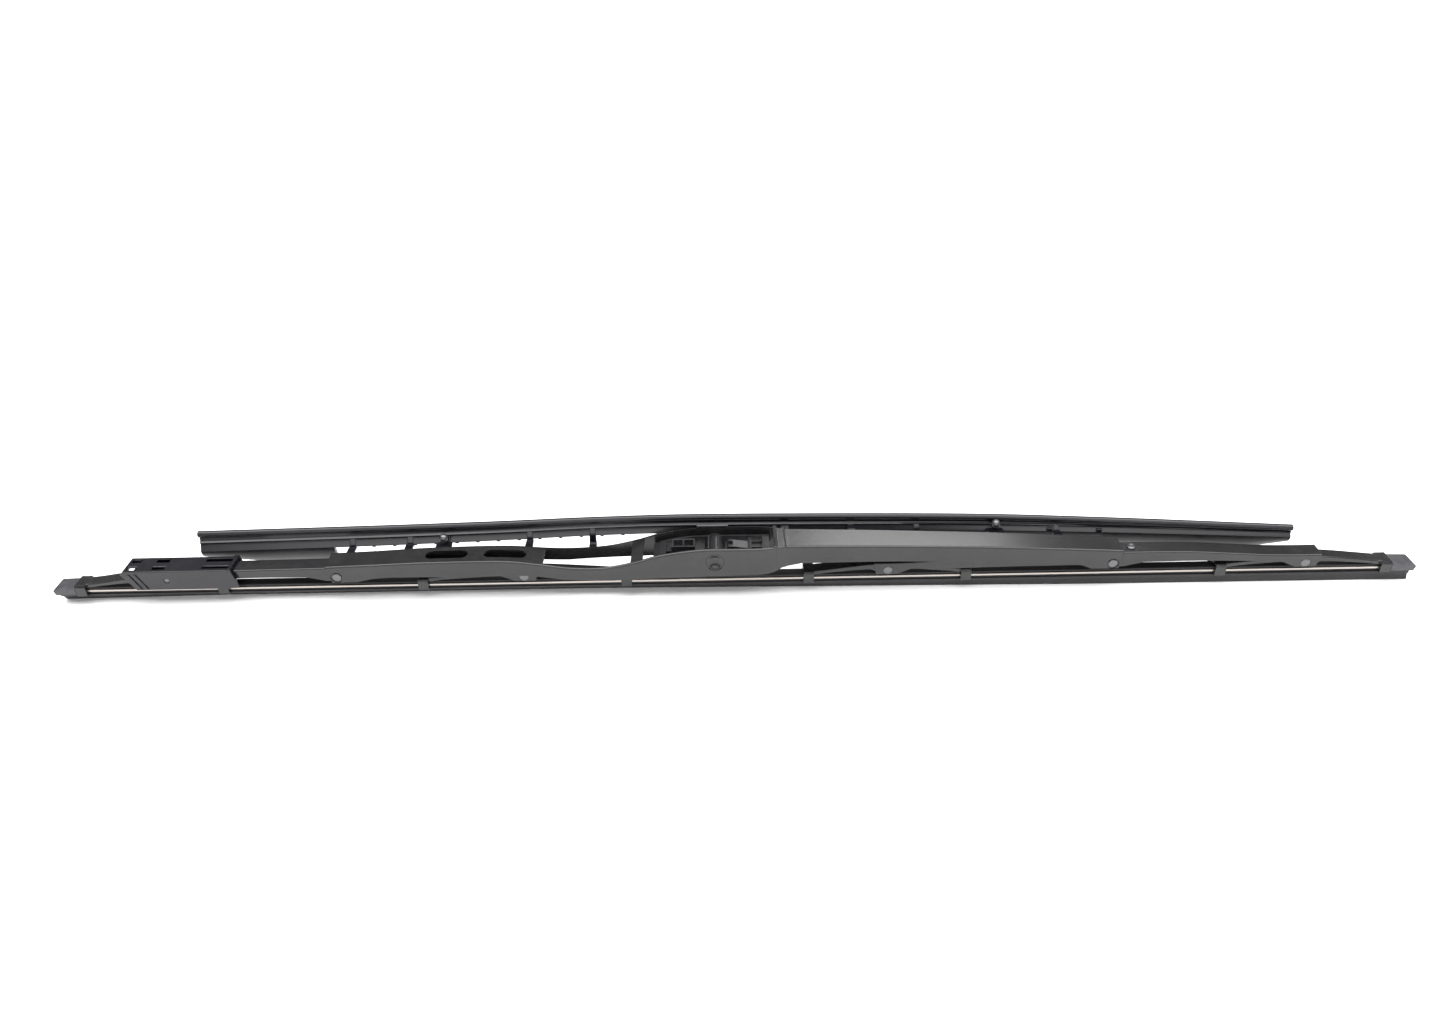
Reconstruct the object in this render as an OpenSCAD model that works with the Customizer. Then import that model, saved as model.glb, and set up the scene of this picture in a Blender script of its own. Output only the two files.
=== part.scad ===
// Windshield wiper blade with a tree of pressed levers, a clip-on spoiler and a clip-in rubber.
// +X runs along the blade, +Z points away from the glass, and the spoiler is on the +Y side.
// The origin is the middle of the cross rivet that the wiper arm's adapter turns on.
// Heights in the sections below are measured up from the wiping edge.

/* [Lever tree] */
// Cross rivet to left pivot
main_arm_l = 179; // [165:1:215]
// Cross rivet to right pivot
main_arm_r = 188; // [175:1:226]
// Left pivot to outer left yoke
left_outer_arm = 90; // [74:1:110]
// Left pivot to inner left yoke
left_inner_arm = 88; // [72:1:92]
// Right pivot to inner right yoke
right_inner_arm = 106; // [86:1:110]
// Right pivot to outer right yoke
right_outer_arm = 92.5; // [76:0.5:112]
// Height of the cross rivet above the wiping edge
hub_h = 22.9; // [22.5:0.1:25]
// Height of the two main pivots
pivot_h = 15.1; // [14.8:0.1:15.6]
// Height of the four yoke rivets
yoke_pin_h = 12.3; // [12.2:0.1:12.6]

/* [Yokes] */
// Half the claw spacing of the outer left yoke
span_a = 34; // [28:0.5:41]
// Half the claw spacing of the inner left yoke
span_b = 48.5; // [38:0.5:52]
// Half the claw spacing of the inner right yoke
span_c = 37.5; // [32:0.5:45]
// Half the claw spacing of the outer right yoke
span_d = 39.5; // [33:0.5:47]
// Length of one claw along the blade
claw_l = 5; // [4:0.1:6]
// Outside width of a yoke's arms
yoke_w = 6.4; // [6:0.1:6.6]
// Sheet thickness of the yokes
yoke_wall = 0.8; // [0.6:0.05:0.9]

/* [Secondary levers] */
// Outside width of the secondary levers
second_w = 8.8; // [8.6:0.1:9.2]
// Sheet thickness of the secondary levers
second_wall = 0.9; // [0.7:0.05:1]

/* [Main lever] */
// Outside width at the two pivots
lever_end_w = 12.4; // [12.4:0.1:14]
// Outside width around the adapter's pocket
pocket_w = 19.8; // [19:0.1:22]
// Sheet thickness of the main lever
lever_wall = 1.2; // [0.9:0.05:1.3]
// Height of the pocket's rims
rim_h = 29.8; // [29:0.1:32]
// Height of the main lever's top at its two ends
lever_end_h = 21.2; // [21:0.1:23]
// Pocket's reach to the left of the cross rivet
pocket_left = 33.6; // [32:0.1:38]
// Pocket's reach to the right of the cross rivet
pocket_right = 27.5; // [27:0.1:32]
// Length of the open window left of the pocket
window_l = 41.5; // [30:0.5:45]
// Length of each lightening slot
slot_l = 20; // [12:0.5:22]
// Width of each lightening slot
slot_w = 6.2; // [4:0.1:7]

/* [Rivets] */
// Radius of the cross rivet's shaft
cross_r = 3.2; // [2.6:0.05:3.4]
// Radius of the cross rivet's dished ends
cross_end_r = 4.3; // [3.8:0.05:5]
// Radius of the main pivot rivets
pivot_r = 2; // [1.6:0.05:2.1]
// Radius of the yoke rivets
yoke_pin_r = 1.4; // [1.1:0.05:1.45]
// Radial running clearance of every rivet in the piece that turns on it
run_gap = 0.05; // [0.02:0.01:0.1]

/* [Adapter] */
// Outside width of the adapter's cheeks
adapter_w = 13.2; // [12.6:0.1:14]
// Thickness of each cheek
cheek_t = 1.3; // [1:0.1:1.4]
// Adapter's reach to the left of the cross rivet
adapter_left = 29; // [26:0.1:30]
// Adapter's reach to the right of the cross rivet
adapter_right = 25.6; // [24:0.1:25.8]
// Outside radius of the saddle that the arm's hook wraps
saddle_r = 4.9; // [4.6:0.1:5.2]

/* [Wiping element] */
// Width over the two steel strips
strips_w = 7; // [6.4:0.1:7.2]
// Thickness of each steel strip
strip_t = 1; // [0.7:0.05:1.1]
// Height of the steel strips' underside
strip_h = 7.4; // [7.2:0.1:7.5]
// Rubber beyond the middle of the leftmost claw
overhang_l = 12.3; // [10:0.1:16]
// Rubber beyond the middle of the rightmost claw
overhang_r = 13.5; // [11:0.1:18]
// Width of the lip's edge
lip_w = 0.9; // [0.6:0.1:1.2]

/* [Spoiler] */
// Spoiler's reach to the left of the cross rivet
wing_left = 250; // [230:1:262]
// Spoiler's reach to the right of the cross rivet
wing_right = 279; // [240:1:282]
// Wall thickness of the wing
wing_t = 1.5; // [1.2:0.1:2]
// Rise of the wing in the middle
wing_h = 7.9; // [7:0.1:10]
// Radius of the bead along the wing's upper edge
bead_r = 1.2; // [1:0.1:1.5]

/* [End cover] */
// Length of the cover over the left lever's outer end
cover_l = 52.5; // [46:0.5:60]
// Wall thickness of the cover
cover_wall = 0.7; // [0.6:0.05:0.8]

/* [Hidden] */
$fn = 48;

// gaps: loose between bodies, skim between pieces that touch, seat round a rivet; past is a cutter's overrun
loose = 0.3;
skim = 0.05;
seat = 0.02;
past = 1;

// places along the blade
pivot_xl = -main_arm_l;
pivot_xr = main_arm_r;
xa = pivot_xl - left_outer_arm;
xb = pivot_xl + left_inner_arm;
xc = pivot_xr - right_inner_arm;
xd = pivot_xr + right_outer_arm;

// rubber and strips, as heights and half widths
head_t = 0.8;
strip_top = strip_h + strip_t;
head_top = strip_top + head_t;
core_hw = 1.1;
head_hw = 2.7;
flange_top = 4.9;
flange_bottom = 3.5;
flange_hw = 2.5;
neck_hw = 1.2;
ledge_hw = 2;
ledge_t = 0.7;
lip_root_hw = 1.5;
rubber_x0 = xa - span_a - overhang_l;
rubber_x1 = xd + span_d + overhang_r;

// claws and yokes
claw_wall = 0.9;
claw_in = strips_w / 2 + loose;
claw_hw = claw_in + claw_wall;
claw_roof = head_top + 0.4;
claw_top = claw_roof + 2;
claw_bottom = 5.4;
hook_top = strip_h - loose;
hook_t = 1.2;
hook_hw = ledge_hw + loose;
yoke_top = yoke_pin_h + 2.7;
ear_drop = 2.4;

// secondary levers
second_hw = second_w / 2;
second_low_top = yoke_top + 0.4 + second_wall;
second_tip = 7;
left_top_h = 19.4;
right_top_h = 20.2;
bush_r = pivot_r + 0.6;
bush_flange_r = pivot_r + 1.3;
bush_flange_t = 0.4;
boss_x = pivot_xr + 9.5;
boss_r = 1.4;

// main lever
lever_tip_l = 4.6;
lever_tip_r = 5;
rail_h = 20;
skirt_h = 14.7;
window_x1 = -pocket_left - 5.8;
window_x0 = window_x1 - window_l;
slot_gap = 7.6;
recess_t = 0.5;
recess_gap = 0.5;
rivet_head_r = 2.3;
rivet_head_t = 0.5;

// adapter
adapter_top = 27.2;
adapter_floor = 15.6;
cheek_in = adapter_w / 2 - cheek_t;

// wing
wing_y0 = 15;
skirt_x0 = pivot_xl - 6.6;
skirt_x1 = pivot_xr + 1;
skirt_step = 0.6;
skirt_drop_l = 9.5;
skirt_drop_r = 8.5;
lip_drop = 0.3;

// end cover
cover_x1 = xa + 41;
cover_x0 = cover_x1 - cover_l;
cover_top = left_top_h + 0.9;
cover_bottom = 9.7;
cover_in = max(second_hw + rivet_head_t, claw_hw) + loose;
cover_hw = cover_in + cover_wall;

// ---- curves and slabs ----

// a point on the smooth curve through b and c, with a and d as its neighbours
function spline(a, b, c, d, t) = 0.5 * (2 * b + (c - a) * t + (2 * a - 5 * b + 4 * c - d) * t * t
  + (3 * b - a - 3 * c + d) * t * t * t);
function smooth(pts, steps = 4) = let (last = len(pts) - 1) concat(
  [for (i = [0:last - 1], s = [0:steps - 1])
    spline(pts[max(i - 1, 0)], pts[i], pts[i + 1], pts[min(i + 2, last)], s / steps)],
  [pts[last]]);
function lowered(pts, by) = [for (p = pts) [p[0], p[1] - by]];
function mirrored(pts) = [for (i = [len(pts) - 1:-1:0]) [pts[i][0], -pts[i][1]]];
function both_sides(pts) = concat(pts, mirrored(pts));
function halves(pts) = concat(pts, [for (i = [len(pts) - 1:-1:0]) [-pts[i][0], pts[i][1]]]);

// moves heights above the wiping edge into the part's own frame
module above_edge() {
  translate([0, 0, -hub_h]) children();
}

// a side view, [x, height] points, given a half width
module side_slab(pts, hw) {
  translate([0, hw, 0]) rotate([90, 0, 0]) linear_extrude(2 * hw) polygon(pts);
}

// a plan view, [x, y] points, between two heights
module plan_slab(pts, z0, z1) {
  translate([0, 0, z0]) linear_extrude(z1 - z0) polygon(pts);
}

// a cross section, [y, height] points, between two places along the blade
module run_slab(pts, x0, x1) {
  translate([x0, 0, 0]) rotate([90, 0, 90]) linear_extrude(x1 - x0) polygon(pts);
}

module box(x0, x1, y0, y1, z0, z1) {
  translate([x0, y0, z0]) cube([x1 - x0, y1 - y0, z1 - z0]);
}

module shaft(x, h, r, y0, y1) {
  translate([x, y1, h]) rotate([90, 0, 0]) cylinder(r = r, h = y1 - y0);
}

// a round-ended slot through the top sheet
module slot(x0, x1, w) {
  box(x0 + w / 2, x1 - w / 2, -w / 2, w / 2, 0, 2 * rim_h);
  for (x = [x0 + w / 2, x1 - w / 2]) translate([x, 0, 0]) cylinder(d = w, h = 2 * rim_h);
}

// a rivet across both side walls, with a head on each side
module rivet(x, h, r, reach, end_t) {
  shaft(x, h, r, -reach, reach);
  for (side = [-1, 1]) {
    y = side * (reach + end_t / 2);
    shaft(x, h, rivet_head_r, y - end_t / 2, y + end_t / 2);
  }
}

// ---- main lever ----

lever_top = smooth([
  [pivot_xl - lever_tip_l, lever_end_h], [pivot_xl + 18, lever_end_h + 0.8],
  [(pivot_xl + window_x0) / 2 - 6, lever_end_h + 1.9], [window_x0 - 20, lever_end_h + 2.1],
  [window_x0 - 3, lever_end_h + 0.4], [window_x0 + 12, rail_h], [window_x1 - 13, rail_h + 0.3],
  [window_x1 + 2, rail_h + 3.4], [-pocket_left + 8, rim_h - 2.8], [-8, rim_h - 0.2],
  [8, rim_h], [pocket_right, rim_h - 0.1], [pocket_right + 13, rim_h - 0.5],
  [pivot_xr * 0.46, rim_h - 1.8], [pivot_xr * 0.72, rim_h - 3.9],
  [pivot_xr + lever_tip_r - 1, lever_end_h + 1.2]], 5);

lever_half_width = smooth([
  [pivot_xl - lever_tip_l - past, lever_end_w / 2], [pivot_xl + 10, lever_end_w / 2],
  [(pivot_xl + window_x0) / 2, lever_end_w / 2 + 0.5], [window_x0 - 8, lever_end_w / 2 + 1],
  [window_x0 + 14, pocket_w / 2 - 1], [window_x1 - 12, pocket_w / 2 - 0.2],
  [-pocket_left, pocket_w / 2], [0, pocket_w / 2], [pocket_right - 6, pocket_w / 2],
  [pocket_right + 5, lever_end_w / 2 + 1.8], [pocket_right + 14, lever_end_w / 2 + 1.4],
  [pivot_xr * 0.6, lever_end_w / 2 + 0.6], [pivot_xr - 12, lever_end_w / 2],
  [pivot_xr + lever_tip_r + past, lever_end_w / 2]], 4);

lever_skirt = concat(
  [[pivot_xr + lever_tip_r - 2, pivot_h - 2.8], [pivot_xr - 10, pivot_h - 2.8]],
  smooth([[pivot_xr - 17, pivot_h + 0.4], [pivot_xr - 34, pivot_h + 1.5],
    [pivot_xr * 0.46, pivot_h + 4.2], [pocket_right + 13, pivot_h + 4.6]]),
  smooth([[pocket_right + 4, pivot_h + 2.7], [pocket_right - 3, skirt_h + 0.7],
    [0, skirt_h], [window_x1, skirt_h - 1], [window_x0 + 10, skirt_h - 1.5]]),
  smooth([[window_x0 - 5, pivot_h - 0.4], [window_x0 - 28, pivot_h + 0.2],
    [pivot_xl + 32, pivot_h - 0.2], [pivot_xl + 17, pivot_h - 1]]),
  [[pivot_xl + 9, pivot_h - 2.9], [pivot_xl - 2.5, pivot_h - 2.9]]);

lever_past_l = pivot_xl - 2 * lever_tip_l;
lever_past_r = pivot_xr + 2 * lever_tip_r;
lever_half_width_in = [for (p = lever_half_width) [p[0], p[1] - lever_wall]];

module lever_roof_cuts() {
  intersection() {
    plan_slab(both_sides(lever_half_width_in), 0, 2 * rim_h);
    union() {
      box(-pocket_left, pocket_right, -pocket_w, pocket_w, 0, 2 * rim_h);
      box(window_x0, window_x1, -pocket_w, pocket_w, 0, 2 * rim_h);
    }
  }
  slot(window_x0 - 8.5 - slot_l, window_x0 - 8.5, slot_w);
  slot(window_x0 - 8.5 - slot_gap - 2 * slot_l, window_x0 - 8.5 - slot_gap - slot_l, slot_w);
}

module main_lever() {
  color("#45454a") above_edge() difference() {
    union() {
      intersection() {
        side_slab(concat(lever_top, lever_skirt), pocket_w);
        plan_slab(both_sides(lever_half_width), 0, 2 * rim_h);
      }
      // raised rim where the roof starts again, right of the pocket
      intersection() {
        box(pocket_right, pocket_right + 1.8, -pocket_w, pocket_w, rim_h - 4, rim_h + 0.7);
        plan_slab(both_sides(lever_half_width), 0, 2 * rim_h);
      }
    }
    intersection() {
      side_slab(concat(lowered(lever_top, lever_wall), [[lever_past_r, lever_end_h - lever_wall],
        [lever_past_r, 0], [lever_past_l, 0], [lever_past_l, lever_end_h - lever_wall]]), pocket_w);
      plan_slab(both_sides(lever_half_width_in), -past, 2 * rim_h);
    }
    lever_roof_cuts();
    shaft(0, hub_h, cross_end_r + seat, -pocket_w, pocket_w);
    for (x = [pivot_xl, pivot_xr]) {
      shaft(x, pivot_h, pivot_r + seat, -pocket_w, pocket_w);
      for (side = [-1, 1]) {
        y = side * (lever_end_w / 2 - recess_t + past);
        shaft(x, pivot_h, rivet_head_r + recess_gap, y - past, y + past);
      }
    }
  }
}

module cross_rivet() {
  reach = pocket_w / 2;
  dish = 9;
  color("#3a3a3e") above_edge() difference() {
    union() {
      shaft(0, hub_h, cross_r, -reach, reach);
      for (side = [-1, 1]) {
        y = side * (reach - lever_wall / 2);
        shaft(0, hub_h, cross_end_r, y - lever_wall / 2, y + lever_wall / 2);
      }
    }
    for (side = [-1, 1]) translate([0, side * (reach + dish - 0.95), hub_h]) sphere(r = dish);
  }
}

module pivot_rivet(x) {
  color("#6c6c70") above_edge()
    rivet(x, pivot_h, pivot_r, lever_end_w / 2 - recess_t + seat, recess_t + 0.2);
}

module left_pivot_rivet() {
  pivot_rivet(pivot_xl);
}

module right_pivot_rivet() {
  pivot_rivet(pivot_xr);
}

// ---- spoiler ----

// the wing along the blade: [x, y of its lower edge, that edge's height, rise, lean]
wing_stations = [
  [-wing_left, wing_y0 - 2, 18, wing_h + 0.8, 3],
  [-wing_left * 0.66, wing_y0 - 1.4, 19.3, wing_h + 0.6, 2.8],
  [-wing_left * 0.42, wing_y0 - 0.6, 20.6, wing_h + 0.3, 2.4],
  [-wing_left * 0.22, wing_y0, 22.2, wing_h, 2.1],
  [0, wing_y0 + 0.2, 22.6, wing_h, 2], [wing_right * 0.4, wing_y0 - 0.6, 21.6, wing_h - 0.5, 1.8],
  [wing_right * 0.66, wing_y0 - 2.5, 20.4, wing_h - 1.6, 1.7],
  [wing_right, wing_y0 - 4.7, 16.8, wing_h - 2.8, 1.3]];
wing_curve = smooth(wing_stations, 5);

// a ring of [y, height] points: a hollow face, a mid ridge, a bead on top, and a skirt below
function wing_face(s, u, out = 0) = [s[1] + s[4] * u + 0.8 * sin(180 * u) + out, s[2] + s[3] * u];
function wing_rib(s, drop) = concat(
  [[s[1] + 0.36 * drop, s[2] - drop], [s[1] + 0.12 * drop, s[2] - 0.4 * drop]],
  [for (u = [0, 0.2, 0.36]) wing_face(s, u)],
  [wing_face(s, 0.44, -0.8)],
  [for (u = [0.52, 0.7, 0.84]) wing_face(s, u)],
  [for (a = [200:-44:-20]) wing_face(s, 1, wing_t / 2) + bead_r * [cos(a), sin(a)]],
  [for (u = [0.84, 0.6, 0.3, 0]) wing_face(s, u, wing_t)],
  [[s[1] + wing_t + 0.1 * drop, s[2] - 0.4 * drop], [s[1] + wing_t + 0.33 * drop, s[2] - drop]]);
drop_table = [[-wing_left, skirt_drop_l - 5.7], [-wing_left + 10, skirt_drop_l - 3.9],
  [-wing_left + 25, skirt_drop_l - 1], [skirt_x0, skirt_drop_l], [skirt_x0 + skirt_step, lip_drop],
  [-pocket_left, lip_drop], [pocket_right, lip_drop + 1.6], [pocket_right + 32, lip_drop + 1.8],
  [skirt_x1 - skirt_step, lip_drop + 4.6], [skirt_x1, skirt_drop_r], [wing_right - 19, skirt_drop_r],
  [wing_right, skirt_drop_r - 5.3]];
function drop_at(x) = lookup(x, drop_table);

function wing_at(x, k) = lookup(x, [for (s = wing_curve) [s[0], s[k]]]);
function wing_station(x) = [x, wing_at(x, 1), wing_at(x, 2), wing_at(x, 3), wing_at(x, 4)];
function wing_y_at(x, h) = let (u = max(0, (h - wing_at(x, 2)) / wing_at(x, 3)))
  wing_at(x, 1) + wing_at(x, 4) * u + 0.8 * sin(180 * u);
function lever_hw_at(x) = lookup(x, lever_half_width);
function lever_top_at(x) = lookup(x, lever_top);
function stops(x0, x1, n) = [for (i = [0:n]) x0 + (x1 - x0) * i / n];

// a closed solid through rings of [y, height] points at given places along the blade
module ring_sweep(places, rings) {
  n = len(rings[0]);
  last = len(rings) - 1;
  points = [for (i = [0:last], p = rings[i]) [places[i], p[0], p[1]]];
  faces = concat(
    [[for (j = [n - 1:-1:0]) j]],
    [for (i = [0:last - 1], j = [0:n - 1], half = [0, 1]) let (a = i * n, b = a + n, k = (j + 1) % n)
      half == 0 ? [a + j, a + k, b + k] : [a + j, b + k, b + j]],
    [[for (j = [0:n - 1]) last * n + j]]);
  polyhedron(points, faces);
}

feet_x = [pivot_xl + 31, window_x0 - 9, window_x1 - 20, pocket_right + 6,
  pivot_xr * 0.35, pivot_xr * 0.52, pivot_xr * 0.88];
stud_x = [(pivot_xl + window_x0) / 2 - 1, pivot_xr * 0.72];
foot_t = 2.8;
stud_r = 2.2;
function foot_top_at(x) = lever_top_at(x) - 1.8;

// a foot from the wing's lower edge to the outside of the main lever's back wall
module wing_foot(x, foot_l) {
  top = foot_top_at(x);
  y0 = max([for (end = [-0.5, 0, 0.5]) lever_hw_at(x + end * foot_l)]) + skim;
  y1 = wing_at(x, 1) + wing_t;
  box(x - foot_l / 2, x + foot_l / 2, y0, y1 - 0.1, top - foot_t, top);
  box(x - foot_l / 2, x + foot_l / 2, y1 - 1.2, y1 - 0.1, min(top, wing_at(x, 2)) - 0.5, wing_at(x, 2) + 0.8);
}

// the skirt hangs down only past the main lever's two ends
wing_places = concat(stops(-wing_left, skirt_x0, 6), stops(skirt_x0 + skirt_step, skirt_x1 - skirt_step, 24),
  stops(skirt_x1, wing_right, 5));

module spoiler_wing() {
  color("#26262b") above_edge() union() {
    ring_sweep(wing_places, [for (x = wing_places) wing_rib(wing_station(x), drop_at(x))]);
    for (x = feet_x) wing_foot(x, 3.6);
    for (x = stud_x) wing_foot(x, 7);
  }
}

module spoiler_studs() {
  color("#77777c") above_edge() for (x = stud_x) {
    h = foot_top_at(x) + stud_r + skim;
    translate([x, wing_y_at(x, h) - stud_r - 1, h]) sphere(r = stud_r);
  }
}

// ---- adapter ----

adapter_side = concat(
  smooth([[-adapter_left, adapter_top - 4.6], [-adapter_left + 6, adapter_top - 2.2],
    [-12, adapter_top - 0.4], [0, adapter_top], [adapter_right, adapter_top - 0.2]]),
  [[adapter_right, adapter_floor + 4.4], [adapter_right - 3, adapter_floor + 2.4],
    [14, adapter_floor], [-11, adapter_floor], [-adapter_left + 6, adapter_floor + 2.2],
    [-adapter_left, adapter_floor + 4.4]]);
nose_x1 = -adapter_left + 6;
block_x0 = adapter_right - 3.4;
hook_slot = 4.4;
frame_x1 = -saddle_r - hook_slot;
frame_x0 = frame_x1 - 11;
frame_hw = 3.3;
frame_bar = 0.9;
bridge_x0 = 15.8;
bridge_x1 = bridge_x0 + 1.5;
bridge_top = adapter_top - 0.9;
latch_gap = 0.2;

module adapter_body() {
  boss_hw = pocket_w / 2 - lever_wall - loose;
  color("#303035") above_edge() difference() {
    union() {
      // two cheeks, closed by a sloped nose on the left and a block on the right
      difference() {
        side_slab(adapter_side, adapter_w / 2);
        box(nose_x1, block_x0, -cheek_in, cheek_in, 0, 2 * rim_h);
      }
      // saddle round the cross rivet, with two ribs over it, and a boss out to each lever wall
      shaft(0, hub_h, saddle_r, -adapter_w / 2, adapter_w / 2);
      shaft(0, hub_h, cross_r + 1, -boss_hw, boss_hw);
      for (x = [-3, 1.6]) box(x - 0.4, x + 0.4, -cheek_in, cheek_in, hub_h + 4, hub_h + saddle_r + 0.3);
      // ladder of bars left of the end block
      box(bridge_x0, bridge_x1, -cheek_in, cheek_in, bridge_top - 2.2, bridge_top);
      for (y = [-2.2, 2.2]) box(bridge_x1, block_x0, y - 0.5, y + 0.5, bridge_top - 1.6, bridge_top);
    }
    shaft(0, hub_h, cross_r + run_gap, -pocket_w, pocket_w);
  }
}

module adapter_window_frame() {
  mid = (frame_x0 + frame_x1) / 2;
  color("#4a4a50") above_edge() {
    box(nose_x1, frame_x0, -2, 2, adapter_top - 4.6, adapter_top - 3);
    difference() {
      box(frame_x0, frame_x1, -frame_hw, frame_hw, adapter_top - 5, adapter_top + 0.4);
      for (x = [[frame_x0 + frame_bar, mid - frame_bar / 2], [mid + frame_bar / 2, frame_x1 - frame_bar]])
        box(x[0], x[1], frame_bar - frame_hw, frame_hw - frame_bar, 0, 2 * rim_h);
    }
  }
}

module adapter_latch() {
  tab_x1 = bridge_x0 - latch_gap;
  tab_x0 = saddle_r + 0.6;
  color("#35353a") above_edge() difference() {
    side_slab([[tab_x0, bridge_top - 0.4], [tab_x0 + 1, bridge_top + 0.6], [tab_x0 + 3.2, bridge_top + 0.5],
      [tab_x1, bridge_top - 0.6], [tab_x1, bridge_top - 1.8], [tab_x0, bridge_top - 1.4]], 2.9);
    box(tab_x0 + 0.8, tab_x0 + 3, -1.6, 1.6, 0, 2 * rim_h);
  }
}

// ---- secondary levers ----

// side view of a secondary lever, as distances from its pivot, positive towards the cross rivet
function second_top(inner, outer, top_h, outer_top_h) = smooth([
  [-outer - second_tip, outer_top_h], [-outer * 0.8, outer_top_h + 0.4],
  [-outer * 0.4, top_h - 0.4], [-4, top_h], [22, top_h - 0.1], [inner * 0.6, top_h - 1.4],
  [inner - 12, second_low_top + 0.3], [inner + second_tip, second_low_top]]);
function second_edge(inner, outer) = let (ear = yoke_pin_h - ear_drop) concat(
  [[inner + second_tip - 1.5, ear], [inner - 4.5, ear], [inner - 11, ear + 3]],
  smooth([[inner * 0.7, ear + 2.8], [inner * 0.45, ear + 3.2], [16, ear + 3.4]]),
  [[6, pivot_h - 3.1], [-6, pivot_h - 3.1]],
  smooth([[-15, ear + 4.4], [-outer * 0.45, ear + 4.6], [-outer * 0.7, ear + 4]]),
  [[-outer + 11, ear + 3], [-outer + 4.5, ear], [-outer - second_tip + 1.5, ear]]);
function second_inside(top, x0, x1) = let (last = top[len(top) - 1]) concat(
  [[x0, top[0][1] - second_wall]], lowered(top, second_wall),
  [[x1, last[1] - second_wall], [x1, 0], [x0, 0]]);

module second_lever(x, flip, inner, outer, top_h, outer_top_h) {
  top = second_top(inner, outer, top_h, outer_top_h);
  translate([x, 0, 0]) mirror([flip, 0, 0]) difference() {
    side_slab(concat(top, second_edge(inner, outer)), second_hw);
    side_slab(second_inside(top, -outer - 2 * second_tip, inner + 2 * second_tip), second_hw - second_wall);
    shaft(0, pivot_h, bush_r + seat, -second_w, second_w);
    for (s = [-outer, inner]) shaft(s, yoke_pin_h, yoke_pin_r + seat, -second_w, second_w);
  }
}

module pivot_bush(x) {
  color("#505055") above_edge() difference() {
    union() {
      shaft(x, pivot_h, bush_r, -second_hw - bush_flange_t, second_hw + bush_flange_t);
      for (side = [-1, 1]) {
        y = side * (second_hw + (seat + bush_flange_t) / 2);
        half = (bush_flange_t - seat) / 2;
        shaft(x, pivot_h, bush_flange_r, y - half, y + half);
      }
    }
    shaft(x, pivot_h, pivot_r + run_gap, -second_w, second_w);
  }
}

module yoke_rivet(x) {
  color("#6c6c70") above_edge()
    rivet(x, yoke_pin_h, yoke_pin_r, second_hw + seat, rivet_head_t);
}

module left_secondary_lever() {
  color("#48484d") above_edge()
    second_lever(pivot_xl, 0, left_inner_arm, left_outer_arm, left_top_h, left_top_h - 1);
}

module right_secondary_lever() {
  color("#48484d") above_edge() difference() {
    second_lever(pivot_xr, 1, right_inner_arm, right_outer_arm, right_top_h, second_low_top + 0.5);
    translate([boss_x, 0, pivot_h + 3]) cylinder(r = boss_r + seat, h = 2 * second_hw);
  }
}

module top_boss() {
  color("#5a5a60") above_edge() difference() {
    translate([boss_x, 0, right_top_h - 1.6]) {
      cylinder(r = boss_r, h = 2);
      translate([0, 0, 1.7]) cylinder(r = boss_r + 0.7, h = 0.7);
    }
    translate([boss_x, 0, right_top_h + 0.4]) cylinder(r = boss_r - 0.2, h = past);
  }
}

module left_pivot_bush() {
  pivot_bush(pivot_xl);
}

module right_pivot_bush() {
  pivot_bush(pivot_xr);
}

module yoke_rivet_a() {
  yoke_rivet(xa);
}

module yoke_rivet_b() {
  yoke_rivet(xb);
}

module yoke_rivet_c() {
  yoke_rivet(xc);
}

module yoke_rivet_d() {
  yoke_rivet(xd);
}

// ---- end cover ----

catch_x = xa + 9.5;
catch_h = 15;
catch_r = 1.2;
cover_side = [[cover_x0, cover_top - 1.4], [cover_x0 + 1.4, cover_top], [cover_x1, cover_top],
  [cover_x1 + 2, cover_bottom + 0.4], [cover_x1 - 5, cover_bottom], [cover_x0 + 5.5, cover_bottom]];
cover_mouth = yoke_top + 0.6;

module cover_windows() {
  for (y = [-3, 3]) {
    box(cover_x0 + 2.6, cover_x0 + 7.2, y - 1.2, y + 1.2, cover_top - 2, cover_top + past);
    box(cover_x0 + 14.4, cover_x0 + 20.6, y - 1.2, y + 1.2, cover_top - 2, cover_top + past);
    box(cover_x1 - 14.5, cover_x1 - 1.8, y - 1, y + 1, cover_top - 2, cover_top + past);
  }
}

module end_cover() {
  color("#2a2a2f") above_edge() difference() {
    union() {
      side_slab(cover_side, cover_hw);
      // slanted ridges by the catch
      for (dx = [3.4, 6.4], side = [-1, 1]) {
        y = side * (cover_hw + 0.2);
        x0 = cover_x0 + dx;
        translate([0, y, 0]) side_slab([[x0, cover_top - 1.5], [x0 + 1, cover_top - 1.5],
          [x0 + 5, cover_bottom + 0.4], [x0 + 4, cover_bottom + 0.4]], 0.3);
      }
      // raised lip at the inner end
      side_slab([[cover_x1 - 1.6, cover_top + 0.5], [cover_x1 - 0.2, cover_top + 0.5],
        [cover_x1 + 1.4, cover_top - 6], [cover_x1 - 0.2, cover_top - 6]], cover_hw + 0.4);
    }
    side_slab([[cover_x0 - past, cover_mouth], [cover_x0 + 0.8, cover_mouth],
      [cover_x0 + 1.8, cover_top - cover_wall], [cover_x1 + 3 * past, cover_top - cover_wall],
      [cover_x1 + 3 * past, 0], [cover_x0 - past, 0]], cover_in);
    shaft(catch_x, catch_h, catch_r + 0.1, -2 * cover_hw, 2 * cover_hw);
    cover_windows();
  }
}

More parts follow.
